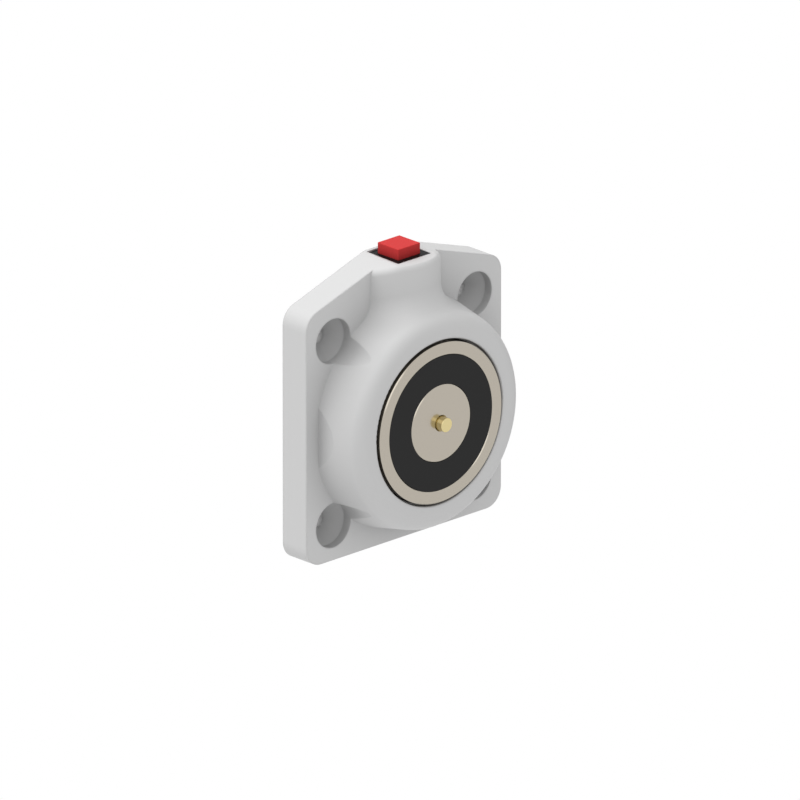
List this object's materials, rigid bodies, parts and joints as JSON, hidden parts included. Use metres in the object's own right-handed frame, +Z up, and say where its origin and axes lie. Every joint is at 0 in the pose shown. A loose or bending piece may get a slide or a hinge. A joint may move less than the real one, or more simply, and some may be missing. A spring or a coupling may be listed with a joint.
{
  "type": "electromagnetic lock",
  "caption": "Wall-mounted holding electromagnet: round steel pot in a moulded plate housing with corner screw wells, spring ejector pin and a square release button on top.",
  "frame": {"origin": "on the wall plane at the magnet's axis", "axes": "+Z up towards the button, +Y into the wall, the magnet's face looks along -Y"},
  "size_m": [0.08, 0.0284, 0.0923],
  "materials": {
    "housing_plastic": "fine satin moulded ABS, pale grey",
    "nickel_plated_steel": "satin nickel plate on ground steel",
    "white_nylon": "moulded nylon",
    "enamelled_copper": "wound enamelled copper wire",
    "black_resin": "cast epoxy, satin",
    "brass": "turned brass",
    "spring_steel": "drawn wire",
    "zinc_steel": "zinc plated steel",
    "tinned_copper": "tinned copper wire",
    "sleeve_rubber": "silicone sleeve",
    "board_laminate": "glass epoxy laminate with green mask",
    "green_nylon": "moulded nylon",
    "tinned_brass": "tinned brass",
    "black_epoxy": "moulded epoxy",
    "black_gloss": "polished moulded plastic",
    "black_matte": "moulded plastic",
    "red_plastic": "moulded plastic, satin gloss"
  },
  "bodies": {
    "lock_body": {"housing": "housing_plastic", "magnet_pot": "nickel_plated_steel", "coil_bobbin": "white_nylon", "coil_winding": "enamelled_copper", "potting_ring": "black_resin", "ejector_spring": "spring_steel", "spring_plug": "brass", "magnet_screws": "zinc_steel", "magnet_washers": "zinc_steel", "coil_leads": "tinned_copper", "lead_sleeves": "sleeve_rubber", "circuit_board": "board_laminate", "board_screws": "zinc_steel", "terminal_block": "green_nylon", "terminal_clamps": "tinned_brass", "terminal_screws": "zinc_steel", "suppressor_diode": "black_epoxy", "switch_body": "black_gloss", "switch_base": "black_matte", "switch_terminals": "tinned_brass", "button_spring": "spring_steel"},
    "ejector": {"ejector_pin": "brass"},
    "button": {"button_cap": "red_plastic", "button_plunger": "white_nylon", "contact_bridge": "brass"}
  },
  "joints": [
    {"name": "ejector_pin_slide", "type": "slide", "parent": "lock_body", "child": "ejector", "axis": [0, 1, 0], "range_m": [0, 0.00245], "stiffness_N_per_m": 1500, "springref_m": -0.004, "deforming": ["ejector_spring"]},
    {"name": "button_press", "type": "slide", "parent": "lock_body", "child": "button", "axis": [0, 0, -1], "range_m": [0, 0.0016], "stiffness_N_per_m": 900, "springref_m": -0.001, "deforming": ["button_spring"]}
  ]
}
